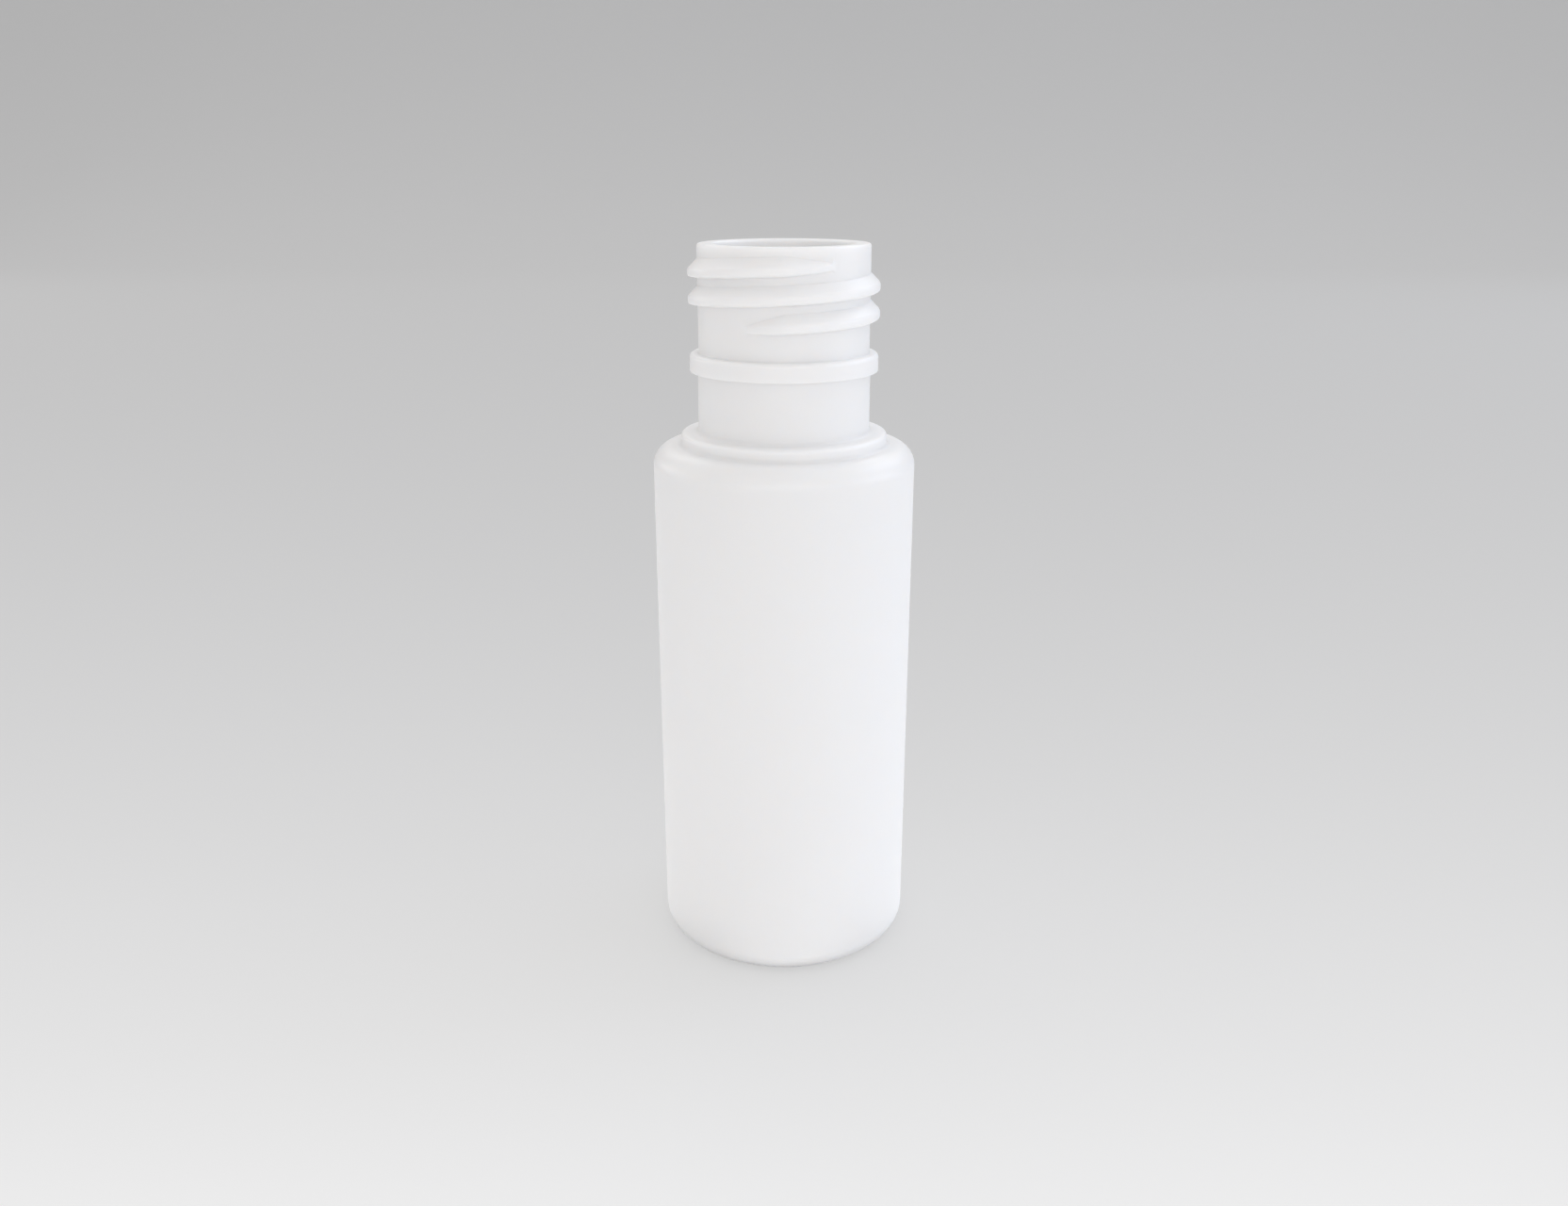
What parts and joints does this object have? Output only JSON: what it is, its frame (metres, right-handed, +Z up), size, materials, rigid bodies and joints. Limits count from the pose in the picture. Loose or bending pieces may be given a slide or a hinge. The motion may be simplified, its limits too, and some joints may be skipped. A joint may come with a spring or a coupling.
{
  "type": "plastic bottle",
  "caption": "Small round white plastic bottle with a tall open screw neck, a tamper-evident bead, a stepped shoulder and a shallow domed base.",
  "frame": {"origin": "middle of the base, on the surface that the bottle stands on", "axes": "+Z up along the bottle's axis, out of its mouth; the two ends of the screw thread face -Y"},
  "size_m": [0.0328, 0.0328, 0.0912],
  "materials": {
    "white_polyethylene": "smooth satin, opaque white polyethylene"
  },
  "bodies": {
    "root": {"base": "white_polyethylene", "body_wall": "white_polyethylene", "shoulder": "white_polyethylene", "neck_step": "white_polyethylene", "neck": "white_polyethylene", "tamper_bead": "white_polyethylene", "screw_thread": "white_polyethylene"}
  },
  "joints": []
}
